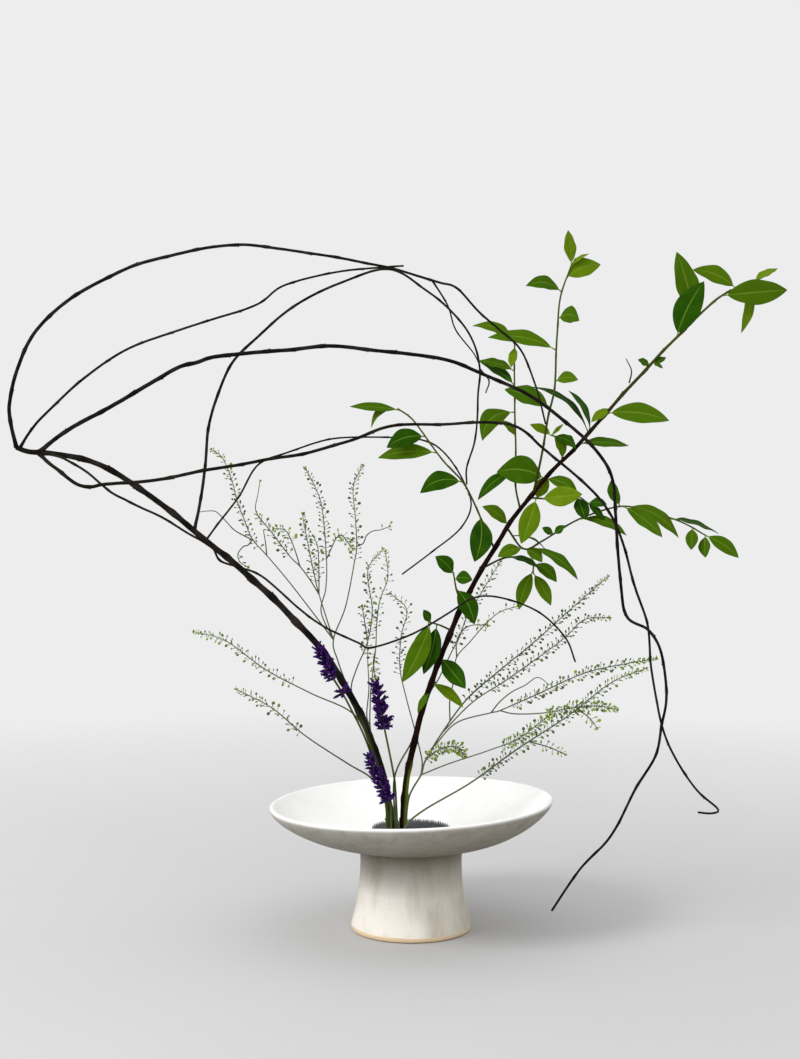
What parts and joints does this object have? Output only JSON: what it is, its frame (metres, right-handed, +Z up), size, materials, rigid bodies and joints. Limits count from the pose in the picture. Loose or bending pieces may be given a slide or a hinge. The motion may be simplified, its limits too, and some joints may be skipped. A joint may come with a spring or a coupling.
{
  "type": "ikebana arrangement",
  "caption": "Ikebana arrangement of arching vine shoots, a leafy branch, lavender and airy seed sprigs standing on a pin holder in a footed ceramic bowl.",
  "frame": {"origin": "on the surface that the bowl's foot stands on, below the middle of the bowl", "axes": "+Z up, the arrangement faces -Y, +X to the viewer's right, along its widest spread"},
  "size_m": [0.7061, 0.255, 0.627],
  "materials": {
    "bowl_glaze": "satin off-white glaze with soft grey runs on the foot and a bare clay edge below",
    "holder_metal": "dull dark metal plate with sharp brass pins",
    "vine_bark": "dark brown bark with small nodes and greyer young shoots",
    "shrub_bark": "smooth reddish brown bark, green at the base and the tips",
    "leaf_green": "satin green leaf with a pale midrib",
    "lavender_violet": "deep violet flowers on a grey-green stalk",
    "sprig_green": "grey-green stalks and small yellow-green seed pods"
  },
  "bodies": {
    "root": {"footed_bowl": "bowl_glaze", "pin_holder": "holder_metal", "vine_cane": "vine_bark", "vine_outer_arch": "vine_bark", "vine_upper_arch": "vine_bark", "vine_rising_arch": "vine_bark", "vine_middle_arch": "vine_bark", "vine_lower_arch": "vine_bark", "vine_trailing_shoot": "vine_bark", "vine_slender_shoot": "vine_bark", "shrub_stem": "shrub_bark", "shrub_left_shoot": "shrub_bark", "shrub_middle_shoot": "shrub_bark", "shrub_top_shoot": "shrub_bark", "shrub_right_shoot": "shrub_bark", "shrub_star_shoot": "shrub_bark", "shrub_arching_shoot": "shrub_bark", "shrub_hanging_shoot": "shrub_bark", "shrub_low_shoot": "shrub_bark", "shrub_fan_shoot": "shrub_bark", "leaf_01": "leaf_green", "leaf_02": "leaf_green", "leaf_03": "leaf_green", "leaf_04": "leaf_green", "leaf_05": "leaf_green", "leaf_06": "leaf_green", "leaf_07": "leaf_green", "leaf_08": "leaf_green", "leaf_09": "leaf_green", "leaf_10": "leaf_green", "leaf_11": "leaf_green", "leaf_12": "leaf_green", "leaf_13": "leaf_green", "leaf_14": "leaf_green", "leaf_15": "leaf_green", "leaf_16": "leaf_green", "leaf_17": "leaf_green", "leaf_18": "leaf_green", "leaf_19": "leaf_green", "leaf_20": "leaf_green", "leaf_21": "leaf_green", "leaf_22": "leaf_green", "leaf_23": "leaf_green", "leaf_24": "leaf_green", "leaf_25": "leaf_green", "leaf_26": "leaf_green", "leaf_27": "leaf_green", "leaf_28": "leaf_green", "leaf_29": "leaf_green", "leaf_30": "leaf_green", "lavender_left": "lavender_violet", "lavender_middle": "lavender_violet", "lavender_low": "lavender_violet", "sprig_low_left": "sprig_green", "sprig_mid_left": "sprig_green", "sprig_tall_left": "sprig_green", "sprig_middle": "sprig_green", "sprig_inner": "sprig_green", "sprig_right": "sprig_green", "sprig_low_right": "sprig_green"}
  },
  "joints": []
}
